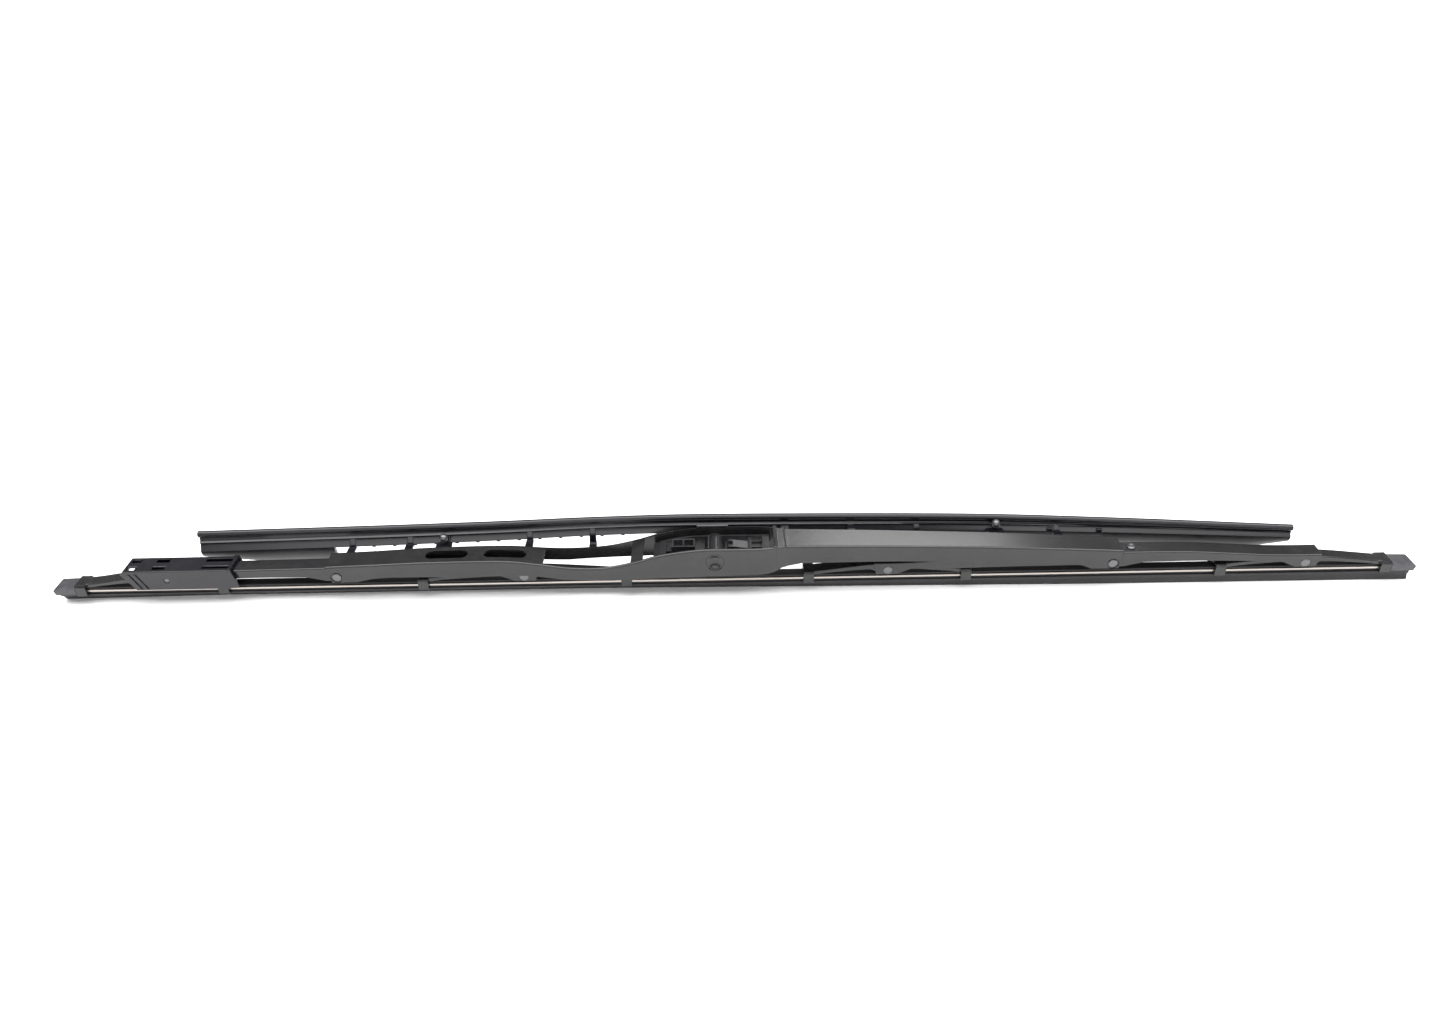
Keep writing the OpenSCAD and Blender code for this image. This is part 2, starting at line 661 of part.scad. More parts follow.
module cover_catch() {
  color("#7c7c82") above_edge() for (side = [-1, 1]) {
    y = side * (second_hw + cover_hw) / 2;
    half = (cover_hw - second_hw) / 2;
    shaft(catch_x, catch_h, catch_r, y - half, y + half);
  }
}

// ---- yokes ----

function yoke_line(h) = smooth([[-h - claw_l / 2, claw_top - 0.2], [-h + claw_l / 2, claw_top],
  [-h + 10, claw_top + 0.9], [-h * 0.45, yoke_top - 1.1], [-7, yoke_top - 0.1], [7, yoke_top - 0.1],
  [h * 0.45, yoke_top - 1.1], [h - 10, claw_top + 0.9], [h - claw_l / 2, claw_top],
  [h + claw_l / 2, claw_top - 0.2]]);
function yoke_edge(h) = let (ear = yoke_pin_h - ear_drop) [[h + claw_l / 2, claw_roof],
  [h - claw_l / 2 - 1, claw_roof], [h - 9, claw_roof + 0.9], [h * 0.4, ear + 1.9], [8, ear + 2.2],
  [3.4, ear], [-3.4, ear], [-8, ear + 2.2], [-h * 0.4, ear + 1.9], [-h + 9, claw_roof + 0.9],
  [-h + claw_l / 2 + 1, claw_roof], [-h - claw_l / 2, claw_roof]];
claw_half = [[0, claw_top], [claw_hw - 0.9, claw_top], [claw_hw, claw_top - 0.9],
  [claw_hw, claw_bottom + 0.5], [claw_hw - 0.5, claw_bottom], [hook_hw, hook_top - hook_t],
  [hook_hw, hook_top], [claw_in, hook_top],
  [claw_in, claw_roof], [0, claw_roof]];

module yoke(x, h) {
  translate([x, 0, 0]) difference() {
    union() {
      difference() {
        side_slab(concat(yoke_line(h), yoke_edge(h)), yoke_w / 2);
        side_slab(concat(lowered(yoke_line(h), yoke_wall),
          [[h + claw_l / 2, 0], [-h - claw_l / 2, 0]]), yoke_w / 2 - yoke_wall);
      }
      for (s = [-h, h])
        run_slab(halves(claw_half), s - claw_l / 2, s + claw_l / 2);
    }
    shaft(0, yoke_pin_h, yoke_pin_r + run_gap, -yoke_w, yoke_w);
  }
}

module yoke_a() {
  color("#4c4c51") above_edge() yoke(xa, span_a);
}

module yoke_b() {
  color("#4c4c51") above_edge() yoke(xb, span_b);
}

module yoke_c() {
  color("#4c4c51") above_edge() yoke(xc, span_c);
}

module yoke_d() {
  color("#4c4c51") above_edge() yoke(xd, span_d);
}

// ---- wiping element ----

cap_wall = 0.7;
cap_gap = 0.3;
cap_bottom = strip_h - cap_gap - cap_wall;
cap_top = head_top + cap_gap + cap_wall;
cap_hw = claw_in + cap_wall;

// an end cap whose closed end is at x_end and whose mouth is at x_mouth
module end_cap(x_end, x_mouth) {
  out = sign(x_end - x_mouth);
  inside = x_end - out * (cap_wall + cap_gap);
  lo = min(inside, x_mouth + -out * past);
  hi = max(inside, x_mouth + -out * past);
  difference() {
    side_slab([[x_mouth, cap_top], [x_end - out * 1.2, cap_top - 0.3], [x_end, cap_top - 1.2],
      [x_end - out * 0.8, cap_bottom], [x_mouth, cap_bottom]], cap_hw);
    box(lo, hi, -claw_in, claw_in, strip_h - cap_gap, head_top + cap_gap);
    box(lo, hi, -ledge_hw - cap_gap, ledge_hw + cap_gap, 0, head_top);
  }
}

module left_end_cap() {
  color("#8a8a8e") above_edge() end_cap(rubber_x0 - 1, xa - span_a - claw_l / 2 - loose);
}

module right_end_cap() {
  color("#8a8a8e") above_edge() end_cap(rubber_x1 + 1, xd + span_d + claw_l / 2 + loose);
}

rubber_half = [[lip_w / 2, 0], [lip_root_hw, flange_bottom - 0.2], [flange_hw, flange_bottom],
  [flange_hw, flange_top], [neck_hw, flange_top], [neck_hw, strip_h - ledge_t], [ledge_hw, strip_h - ledge_t],
  [ledge_hw, strip_h], [core_hw, strip_h], [core_hw, strip_top], [head_hw, strip_top],
  [head_hw - 0.3, head_top]];

module wiper_rubber() {
  color("#2e2e30") above_edge()
    run_slab(halves(rubber_half), rubber_x0, rubber_x1);
}

module steel_strip(side) {
  mid = side * (core_hw + strips_w / 2) / 2;
  half = (strips_w / 2 - core_hw) / 2;
  color("#b9b3ab") above_edge()
    box(rubber_x0 + 0.5, rubber_x1 - 0.5, mid - half, mid + half, strip_h, strip_top);
}

module front_strip() {
  steel_strip(-1);
}

module back_strip() {
  steel_strip(1);
}

main_lever();
cross_rivet();
left_pivot_rivet();
right_pivot_rivet();
spoiler_wing();
spoiler_studs();
adapter_body();
adapter_window_frame();
adapter_latch();
left_secondary_lever();
left_pivot_bush();
end_cover();
cover_catch();
yoke_rivet_a();
yoke_rivet_b();
right_secondary_lever();
right_pivot_bush();
top_boss();
yoke_rivet_c();
yoke_rivet_d();
yoke_a();
yoke_b();
yoke_c();
yoke_d();
left_end_cap();
right_end_cap();
wiper_rubber();
front_strip();
back_strip();
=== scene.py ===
# Looks for a windshield wiper blade: pressed levers, clip-on spoiler, hook adapter and wiping rubber.
import math

import bmesh
import bpy
import numpy as np
from mathutils import Matrix, Vector


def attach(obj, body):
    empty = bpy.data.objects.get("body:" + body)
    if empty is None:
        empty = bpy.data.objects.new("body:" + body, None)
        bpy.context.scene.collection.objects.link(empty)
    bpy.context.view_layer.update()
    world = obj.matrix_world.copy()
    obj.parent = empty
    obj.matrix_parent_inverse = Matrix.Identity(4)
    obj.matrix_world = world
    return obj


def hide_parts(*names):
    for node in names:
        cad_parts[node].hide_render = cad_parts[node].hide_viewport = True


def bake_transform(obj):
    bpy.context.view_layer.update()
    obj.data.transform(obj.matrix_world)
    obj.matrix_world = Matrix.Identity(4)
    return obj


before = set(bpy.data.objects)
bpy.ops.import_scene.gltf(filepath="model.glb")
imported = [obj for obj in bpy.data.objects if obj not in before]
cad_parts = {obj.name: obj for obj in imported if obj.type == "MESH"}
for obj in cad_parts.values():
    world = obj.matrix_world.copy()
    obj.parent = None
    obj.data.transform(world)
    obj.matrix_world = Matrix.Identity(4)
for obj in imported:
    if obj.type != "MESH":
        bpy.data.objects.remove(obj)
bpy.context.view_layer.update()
mm = 0.001
print("frame loaded,", len(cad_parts), "nodes")


# ways to read the frame, in millimetres
def nodePoints(nodeName):
    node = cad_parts[nodeName]
    flat = np.empty(len(node.data.vertices) * 3)
    node.data.vertices.foreach_get("co", flat)
    turned = np.array(node.matrix_world)
    return (flat.reshape(-1, 3) @ turned[:3, :3].T + turned[:3, 3]) / mm


def nodeBox(nodeName):
    points = nodePoints(nodeName)
    return points.min(axis=0), points.max(axis=0)


def nodeCentre(nodeName):
    low, high = nodeBox(nodeName)
    return (low + high) / 2


edgeZ = nodeBox("wiper_rubber")[0][2]       # the wiping edge; heights below are above it
leftPivot = nodeCentre("left_pivot_rivet")
rightPivot = nodeCentre("right_pivot_rivet")


# finishes: two shared effects and one material for each finish
def newEffect(name, inputs, outputs):
    group = bpy.data.node_groups.new(name, "ShaderNodeTree")
    for label, kind, value in inputs:
        socket = group.interface.new_socket(label, in_out="INPUT", socket_type=kind)
        socket.default_value = value
    for label, kind in outputs:
        group.interface.new_socket(label, in_out="OUTPUT", socket_type=kind)
    return group, group.nodes.new("NodeGroupInput"), group.nodes.new("NodeGroupOutput")


def addNode(tree, kind, values=None, **settings):
    node = tree.nodes.new(kind)
    for key, value in settings.items():
        setattr(node, key, value)
    for key, value in (values or {}).items():
        node.inputs[key].default_value = value
    return node


def makeGrainEffect():
    # height of a moulded or sprayed skin: fine noise, with a second one eight times as coarse
    group, start, end = newEffect(
        "fineGrain",
        [("Size", "NodeSocketFloat", 900.0), ("Along", "NodeSocketVector", (1, 1, 1)),
         ("Coarse", "NodeSocketFloat", 0.4)],
        [("Height", "NodeSocketFloat"), ("Patch", "NodeSocketFloat")])
    place = addNode(group, "ShaderNodeTexCoord")
    stretch = addNode(group, "ShaderNodeVectorMath", operation="MULTIPLY")
    fine = addNode(group, "ShaderNodeTexNoise", {"Detail": 3.0, "Roughness": 0.6})
    eighth = addNode(group, "ShaderNodeMath", {1: 0.125}, operation="MULTIPLY")
    coarse = addNode(group, "ShaderNodeTexNoise", {"Detail": 2.0})
    weigh = addNode(group, "ShaderNodeMath", operation="MULTIPLY")
    total = addNode(group, "ShaderNodeMath", operation="ADD")
    patch = addNode(group, "ShaderNodeTexNoise", {"Scale": 45.0, "Detail": 4.0, "Roughness": 0.62})
    link = group.links.new
    link(place.outputs["Object"], stretch.inputs[0])
    link(start.outputs["Along"], stretch.inputs[1])
    link(stretch.outputs[0], fine.inputs["Vector"])
    link(start.outputs["Size"], fine.inputs["Scale"])
    link(start.outputs["Size"], eighth.inputs[0])
    link(stretch.outputs[0], coarse.inputs["Vector"])
    link(eighth.outputs[0], coarse.inputs["Scale"])
    link(coarse.outputs["Fac"], weigh.inputs[0])
    link(start.outputs["Coarse"], weigh.inputs[1])
    link(fine.outputs["Fac"], total.inputs[0])
    link(weigh.outputs[0], total.inputs[1])
    link(total.outputs[0], end.inputs["Height"])
    link(place.outputs["Object"], patch.inputs["Vector"])
    link(patch.outputs["Fac"], end.inputs["Patch"])
    return group


def makeWearEffect():
    # worn edges where the mesh says so, dust in soft patches, and thin rubbed lines along the blade
    group, start, end = newEffect(
        "wearAndDust",
        [("Color", "NodeSocketColor", (0.05, 0.05, 0.05, 1)),
         ("Worn Color", "NodeSocketColor", (0.2, 0.2, 0.2, 1)),
         ("Dust Color", "NodeSocketColor", (0.3, 0.29, 0.27, 1)),
         ("Wear", "NodeSocketFloat", 0.3), ("Dust", "NodeSocketFloat", 0.1),
         ("Roughness", "NodeSocketFloat", 0.4), ("Patch", "NodeSocketFloat", 0.5)],
        [("Color", "NodeSocketColor"), ("Roughness", "NodeSocketFloat")])
    link = group.links.new
    place = addNode(group, "ShaderNodeTexCoord")
    edge = addNode(group, "ShaderNodeAttribute", attribute_name="edgeWear")
    broken = addNode(group, "ShaderNodeTexNoise", {"Scale": 260.0, "Detail": 5.0, "Roughness": 0.7})
    brokenStep = addNode(group, "ShaderNodeMapRange", {1: 0.42, 2: 0.66})
    wearMask = addNode(group, "ShaderNodeMath", operation="MULTIPLY")
    wearShare = addNode(group, "ShaderNodeMath", operation="MULTIPLY", use_clamp=True)
    thin = addNode(group, "ShaderNodeVectorMath", {1: (40.0, 900.0, 900.0)}, operation="MULTIPLY")
    lines = addNode(group, "ShaderNodeTexNoise", {"Scale": 1.0, "Detail": 2.0})
    lineStep = addNode(group, "ShaderNodeMapRange", {1: 0.62, 2: 0.8, 4: 0.35})
    dustStep = addNode(group, "ShaderNodeMapRange", {1: 0.4, 2: 0.75})
    dustShare = addNode(group, "ShaderNodeMath", operation="MULTIPLY")
    anyWear = addNode(group, "ShaderNodeMath", operation="MAXIMUM")
    wornMix = addNode(group, "ShaderNodeMix", data_type="RGBA")
    dustMix = addNode(group, "ShaderNodeMix", data_type="RGBA")
    rougher = addNode(group, "ShaderNodeMath", {1: 0.35}, operation="MULTIPLY_ADD")
    link(place.outputs["Object"], broken.inputs["Vector"])
    link(broken.outputs["Fac"], brokenStep.inputs[0])
    link(edge.outputs["Fac"], wearMask.inputs[0])
    link(brokenStep.outputs[0], wearMask.inputs[1])
    link(place.outputs["Object"], thin.inputs[0])
    link(thin.outputs[0], lines.inputs["Vector"])
    link(lines.outputs["Fac"], lineStep.inputs[0])
    link(wearMask.outputs[0], anyWear.inputs[0])
    link(lineStep.outputs[0], anyWear.inputs[1])
    link(anyWear.outputs[0], wearShare.inputs[0])
    link(start.outputs["Wear"], wearShare.inputs[1])
    link(start.outputs["Patch"], dustStep.inputs[0])
    link(dustStep.outputs[0], dustShare.inputs[0])
    link(start.outputs["Dust"], dustShare.inputs[1])
    link(wearShare.outputs[0], wornMix.inputs[0])
    link(start.outputs["Color"], wornMix.inputs[6])
    link(start.outputs["Worn Color"], wornMix.inputs[7])
    link(dustShare.outputs[0], dustMix.inputs[0])
    link(wornMix.outputs[2], dustMix.inputs[6])
    link(start.outputs["Dust Color"], dustMix.inputs[7])
    link(dustMix.outputs[2], end.inputs["Color"])
    link(dustShare.outputs[0], rougher.inputs[0])
    link(start.outputs["Roughness"], rougher.inputs[2])
    link(rougher.outputs[0], end.inputs["Roughness"])
    return group


grainEffect = makeGrainEffect()
wearEffect = makeWearEffect()

finishes = {
    "leverPaint": {"slot": "lever_paint", "color": (0.0075, 0.0075, 0.0082), "worn": (0.035, 0.035, 0.037),
                   "roughness": 0.22, "metallic": 0.0, "coat": 0.05, "wear": 0.2, "dust": 0.02,
                   "grain": 1500.0, "coarse": 0.8, "along": (1, 1, 1), "bump": 0.05},
    "yokePaint": {"slot": "yoke_paint", "color": (0.006, 0.006, 0.0068), "worn": (0.04, 0.04, 0.042),
                  "roughness": 0.25, "metallic": 0.0, "coat": 0.05, "wear": 0.35, "dust": 0.02,
                  "grain": 1500.0, "coarse": 0.8, "along": (1, 1, 1), "bump": 0.05},
    "rivetSteel": {"slot": "rivet_steel", "color": (0.13, 0.13, 0.136), "worn": (0.3, 0.3, 0.31),
                   "roughness": 0.3, "metallic": 0.85, "coat": 0.0, "wear": 0.6, "dust": 0.03,
                   "grain": 2400.0, "coarse": 0.3, "along": (1, 1, 1), "bump": 0.04},
    "spoilerPlastic": {"slot": "black_plastic", "color": (0.0042, 0.0038, 0.0062),
                       "worn": (0.016, 0.016, 0.019),
                       "roughness": 0.24, "metallic": 0.0, "coat": 0.0, "wear": 0.3, "dust": 0.015,
                       "grain": 2600.0, "coarse": 0.2, "along": (1, 1, 1), "bump": 0.04},
    "adapterPlastic": {"slot": "adapter_plastic", "color": (0.0065, 0.0063, 0.0075),
                       "worn": (0.03, 0.03, 0.032),
                       "roughness": 0.3, "metallic": 0.0, "coat": 0.0, "wear": 0.4, "dust": 0.02,
                       "grain": 3200.0, "coarse": 0.2, "along": (1, 1, 1), "bump": 0.05},
    "bushPlastic": {"slot": "bush_plastic", "color": (0.05, 0.05, 0.053), "worn": (0.1, 0.1, 0.1),
                    "roughness": 0.5, "metallic": 0.0, "coat": 0.0, "wear": 0.2, "dust": 0.03,
                    "grain": 3000.0, "coarse": 0.2, "along": (1, 1, 1), "bump": 0.03},
    "capPlastic": {"slot": "cap_plastic", "color": (0.032, 0.031, 0.036), "worn": (0.09, 0.09, 0.094),
                   "roughness": 0.46, "metallic": 0.0, "coat": 0.0, "wear": 0.35, "dust": 0.03,
                   "grain": 2600.0, "coarse": 0.3, "along": (1, 1, 1), "bump": 0.08},
    "stripSteel": {"slot": "strip_steel", "color": (0.42, 0.39, 0.36), "worn": (0.66, 0.62, 0.58),
                   "roughness": 0.3, "metallic": 1.0, "coat": 0.0, "wear": 0.5, "dust": 0.05,
                   "grain": 60.0, "coarse": 0.5, "along": (1, 40, 40), "bump": 0.04},
    "lipRubber": {"slot": "lip_rubber", "color": (0.017, 0.016, 0.018), "worn": (0.05, 0.05, 0.052),
                  "roughness": 0.6, "metallic": 0.0, "coat": 0.0, "wear": 0.5, "dust": 0.03,
                  "grain": 700.0, "coarse": 0.5, "along": (0.2, 1, 1), "bump": 0.08},
}


def makeMaterial(name, look):
    material = bpy.data.materials.new(name)
    material.use_nodes = True
    tree = material.node_tree
    shader = tree.nodes["Principled BSDF"]
    shader.inputs["Metallic"].default_value = look["metallic"]
    shader.inputs["Coat Weight"].default_value = look["coat"]
    shader.inputs["Coat Roughness"].default_value = 0.2
    grain = addNode(tree, "ShaderNodeGroup", node_tree=grainEffect)
    grain.inputs["Size"].default_value = look["grain"]
    grain.inputs["Along"].default_value = look["along"]
    grain.inputs["Coarse"].default_value = look["coarse"]
    wear = addNode(tree, "ShaderNodeGroup", node_tree=wearEffect)
    wear.inputs["Color"].default_value = (*look["color"], 1)
    wear.inputs["Worn Color"].default_value = (*look["worn"], 1)
    wear.inputs["Wear"].default_value = look["wear"]
    wear.inputs["Dust"].default_value = look["dust"]
    wear.inputs["Roughness"].default_value = look["roughness"]
    bump = addNode(tree, "ShaderNodeBump", {"Strength": look["bump"], "Distance": 0.0004})
    tree.links.new(grain.outputs["Patch"], wear.inputs["Patch"])
    tree.links.new(grain.outputs["Height"], bump.inputs["Height"])
    tree.links.new(bump.outputs["Normal"], shader.inputs["Normal"])
    tree.links.new(wear.outputs["Color"], shader.inputs["Base Color"])
    tree.links.new(wear.outputs["Roughness"], shader.inputs["Roughness"])
    return material


materials = {name: makeMaterial(name, look) for name, look in finishes.items()}
print("finishes made:", ", ".join(materials))


# surfaces: every shape is a grid of rings x points, [x, y, z] in millimetres
def softLoop(corners, radius, steps=4):
    # each corner becomes a short arc: a quadratic curve from a point before it to a point after it,
    # both `radius` away or 0.45 of the side, with the corner as the curve's middle control
    before = np.roll(corners, 1, axis=-2) - corners
    after = np.roll(corners, -1, axis=-2) - corners
    lengthBefore = np.linalg.norm(before, axis=-1, keepdims=True)
    lengthAfter = np.linalg.norm(after, axis=-1, keepdims=True)
    first = corners + before / lengthBefore * np.minimum(radius, 0.45 * lengthBefore)
    last = corners + after / lengthAfter * np.minimum(radius, 0.45 * lengthAfter)
    t = np.linspace(0, 1, steps + 1)[:, None]
    middle = corners[..., None, :]
    arc = (1 - t) ** 2 * first[..., None, :] + 2 * t * (1 - t) * middle + t ** 2 * last[..., None, :]
    return arc.reshape(*corners.shape[:-2], -1, 2)


def alongBlade(places, sections):
    # a [y, height] section set up at each place along the blade
    sections = np.broadcast_to(sections, (len(places), *sections.shape[-2:]))
    x = np.broadcast_to(np.asarray(places, float)[:, None], sections.shape[:2])
    return np.stack([x, sections[..., 0], sections[..., 1] + edgeZ], axis=-1)


def turnedAround(profile, centre, axis, count=40):
    # a [radius, distance] profile turned once around an axis through the centre
    angle = np.linspace(0, 2 * np.pi, count, endpoint=False)
    radius, distance = profile[:, :1], profile[:, 1:]
    across = np.stack([radius * np.cos(angle), radius * np.sin(angle)], axis=-1)
    rise = np.broadcast_to(distance, (len(profile), count))
    order = {"y": (across[..., 0], rise, across[..., 1]), "z": (across[..., 0], across[..., 1], rise)}[axis]
    return np.stack(order, axis=-1) + np.asarray(centre)


def roundedBlock(low, high, radius):
    # a box with round corners: rings along x, each a soft rectangle
    # drawn in by r - r cos(a) at x = r - r sin(a) from the end
    low, high = np.asarray(low, float), np.asarray(high, float)
    angle = np.linspace(math.pi / 2 * 0.92, 0, 4)
    inset = radius * (1 - np.cos(angle))
    step = radius * (1 - np.sin(angle))
    places = np.concatenate([low[0] + step, high[0] - step[::-1]])
    inset = np.concatenate([inset, inset[::-1]])[:, None]
    middle, half = (low[1:] + high[1:]) / 2, (high[1:] - low[1:]) / 2
    signs = np.array([[-1, -1], [1, -1], [1, 1], [-1, 1]])
    corners = middle + signs * (half - inset)[:, None, :]
    return alongBlade(places, softLoop(corners, radius))


def curvedBar(path, halfWidths, thickness, x):
    # a flat bar that follows a [y, height] path: the section's two sides lie along the path's normal
    path = np.asarray(path, float)
    along = np.linspace(0, len(path) - 1, 4 * len(path))
    fine = np.stack([np.interp(along, np.arange(len(path)), path[:, k]) for k in (0, 1)], axis=-1)
    kernel = np.array([0.25, 0.5, 0.25])
    inner = np.stack([np.convolve(fine[:, k], kernel, mode="valid") for k in (0, 1)], axis=-1)
    fine = np.concatenate([fine[:1], inner, fine[-1:]])
    tangent = np.gradient(fine, axis=0)
    tangent /= np.linalg.norm(tangent, axis=1, keepdims=True)
    normal = np.stack([-tangent[:, 1], tangent[:, 0]], axis=-1)
    width = np.interp(along, np.linspace(0, along[-1], len(halfWidths)), halfWidths)
    signs = np.array([[-1, -1], [1, -1], [1, 1], [-1, 1]], float)
    corners = signs * np.stack([width, np.full_like(width, thickness / 2)], axis=-1)[:, None, :]
    loop = softLoop(corners, 0.35 * thickness)
    spot = fine[:, None, :] + normal[:, None, :] * loop[..., 1:]
    return np.stack([x + loop[..., 0], spot[..., 0], spot[..., 1] + edgeZ], axis=-1)


def gridFaces(points, offset):
    # quads between neighbouring rings and one face over each end, turned outwards by the sign of the volume
    rings, count = points.shape[:2]
    index = np.arange(rings * count).reshape(rings, count)
    following = np.roll(index, -1, axis=1)
    quads = np.stack([index[:-1], following[:-1], following[1:], index[1:]], axis=-1).reshape(-1, 4)
    flat = points.reshape(-1, 3) - points.reshape(-1, 3).mean(axis=0)
    ends = [index[0, ::-1], index[-1]]
    triangles = np.concatenate([quads[:, :3], quads[:, [0, 2, 3]]] + [
        np.stack([np.full(count - 2, end[0]), end[1:-1], end[2:]], axis=-1) for end in ends])
    a, b, c = flat[triangles[:, 0]], flat[triangles[:, 1]], flat[triangles[:, 2]]
    if (a * np.cross(b, c)).sum() < 0:
        quads, ends = quads[:, ::-1], [end[::-1] for end in ends]
    return (quads + offset).tolist() + [(end + offset).tolist() for end in ends]


def makePiece(name, grids, finish, body, nodes=(), sharp=35):
    vertices, faces, offset = [], [], 0
    for points in grids:
        faces += gridFaces(points, offset)
        vertices.append(points.reshape(-1, 3) * mm)
        offset += points.shape[0] * points.shape[1]
    mesh = bpy.data.meshes.new(name)
    mesh.from_pydata(np.concatenate(vertices).tolist(), [], faces)
    return finishPiece(name, mesh, finish, body, nodes, sharp)


def finishPiece(name, mesh, finish, body, nodes, sharp):
    mesh.update()
    mesh.shade_smooth()
    mesh.set_sharp_from_angle(angle=math.radians(sharp))
    mesh.materials.clear()
    mesh.materials.append(materials[finish])
    piece = bpy.data.objects.new(name, mesh)
    bpy.context.scene.collection.objects.link(piece)
    normals = piece.modifiers.new("evenShading", "WEIGHTED_NORMAL")
    normals.keep_sharp = True
    if body:
        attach(piece, body)
    if nodes:
        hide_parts(*nodes)
    return piece


edgeRules = {
    "weld": 0.002, "flatDegrees": 0.5, "sharpDegrees": 38, "tiny": 0.02,      # mm, degrees, degrees, mm
    "wallNormal": 0.8, "topNormal": 0.6, "steepNormal": 0.75,                 # what is a wall and a top
    "foldSegments": 4, "foldReach": 1.08, "rimSegments": 2, "rimReach": 2.2,  # reach: face depth over radius
}


def faceDepth(face, edge):
    # how far a face reaches away from one of its edges
    start, way = edge.verts[0].co, (edge.verts[1].co - edge.verts[0].co).normalized()
    return max(((v.co - start) - way * (v.co - start).dot(way)).length for v in face.verts)


def isFold(edge):
    # a bend of the sheet: the outer side wall meets a face that looks up
    if not edge.is_convex:
        return False
    first, second = sorted(edge.link_faces, key=lambda face: abs(face.normal.y))
    middle = (edge.verts[0].co + edge.verts[1].co) / 2
    isWall = abs(second.normal.y) > edgeRules["wallNormal"] and second.normal.y * middle.y > 0
    isTop = first.normal.z > edgeRules["topNormal"] and abs(first.normal.x) < edgeRules["steepNormal"]
    return isWall and isTop


def roundEdges(bm, radius, segments, reach, folds):
    # rounds the edges whose two faces are both deep enough for the radius
    chosen, sharp = [], math.radians(edgeRules["sharpDegrees"])
    for edge in bm.edges:
        if len(edge.link_faces) != 2 or abs(edge.calc_face_angle(0)) < sharp:
            continue
        if folds and not isFold(edge):
            continue
        if min(faceDepth(face, edge) for face in edge.link_faces) > reach * radius * mm:
            chosen.append(edge)
    if chosen:
        bmesh.ops.bevel(bm, geom=chosen, offset=radius * mm, offset_type="OFFSET", segments=segments,
                        profile=0.5, affect="EDGES", clamp_overlap=False, loop_slide=True)
    return len(chosen)


def pressedCopy(name, nodeName, finish, body, fold, rim):
    # a merged copy of a CAD node: folds get the sheet's bending radius, other edges a small break
    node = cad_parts[nodeName]
    bm = bmesh.new()
    bm.from_mesh(node.data)
    bm.transform(node.matrix_world)
    bmesh.ops.remove_doubles(bm, verts=bm.verts, dist=edgeRules["weld"] * mm)
    flat = math.radians(edgeRules["flatDegrees"])
    bmesh.ops.dissolve_limit(bm, angle_limit=flat, verts=bm.verts, edges=bm.edges)
    bmesh.ops.connect_verts_concave(bm, faces=bm.faces)
    folds = roundEdges(bm, fold, edgeRules["foldSegments"], edgeRules["foldReach"], True) if fold else 0
    before = set(bm.faces)
    rims = roundEdges(bm, rim, edgeRules["rimSegments"], edgeRules["rimReach"], False) if rim else 0
    bmesh.ops.dissolve_degenerate(bm, dist=edgeRules["tiny"] * mm, edges=bm.edges)
    wearLayer = bm.verts.layers.float.new("edgeWear")
    for face in bm.faces:
        if face not in before:
            for vert in face.verts:
                vert[wearLayer] = 1.0
    bmesh.ops.triangulate(bm, faces=[f for f in bm.faces if len(f.verts) > 4], ngon_method="EAR_CLIP")
    mesh = bpy.data.meshes.new(name)
    bm.to_mesh(mesh)
    bm.free()
    print(" ", name, folds, "folds,", rims, "rims,", len(mesh.polygons), "faces")
    return finishPiece(name, mesh, finish, body, [nodeName], 32)


# pressed and moulded pieces that keep the frame's own shape, with their edges rounded
copies = {  # node, finish, body, radius of the folds, break of the other edges
    "mainLever": ("main_lever", "leverPaint", "main", 1.0, 0.2),
    "leftLever": ("left_secondary_lever", "leverPaint", "left_secondary", 0.75, 0.15),
    "rightLever": ("right_secondary_lever", "leverPaint", "right_secondary", 0.75, 0.15),
    "outerLeftYoke": ("yoke_a", "yokePaint", "outer_left_yoke", 0.6, 0.12),
    "innerLeftYoke": ("yoke_b", "yokePaint", "inner_left_yoke", 0.6, 0.12),
    "innerRightYoke": ("yoke_c", "yokePaint", "inner_right_yoke", 0.6, 0.12),
    "outerRightYoke": ("yoke_d", "yokePaint", "outer_right_yoke", 0.6, 0.12),
    "endCover": ("end_cover", "spoilerPlastic", "left_secondary", 0.5, 0.1),
    "adapter": ("adapter_body", "adapterPlastic", "adapter", 0.35, 0.1),
    "adapterWindows": ("adapter_window_frame", "adapterPlastic", "adapter", 0, 0.15),
    "adapterLatch": ("adapter_latch", "adapterPlastic", "latch", 0, 0.15),
    "leftCap": ("left_end_cap", "capPlastic", "outer_left_yoke", 0.5, 0.1),
    "rightCap": ("right_end_cap", "capPlastic", "outer_right_yoke", 0.5, 0.1),
}
for pieceName, (nodeName, finish, body, fold, rim) in copies.items():
    pressedCopy(pieceName, nodeName, finish, body, fold, rim)
print("levers, yokes, adapter, cover and caps made")


# a short bright clip over the rim of the pocket's back wall
rim = nodeBox("main_lever")[1]
makePiece("rimClip", [roundedBlock([-8.6, rim[1] - 1.5, rim[2] - edgeZ - 0.5],
                                   [6.5, rim[1] - 0.05, rim[2] - edgeZ + 0.55], 0.25)], "rivetSteel", "main")

# rivets: a dome, a head, the shaft and the other head
rivetShapes = {"headRadius": 2.1, "headHeight": 0.5, "dome": 0.28}


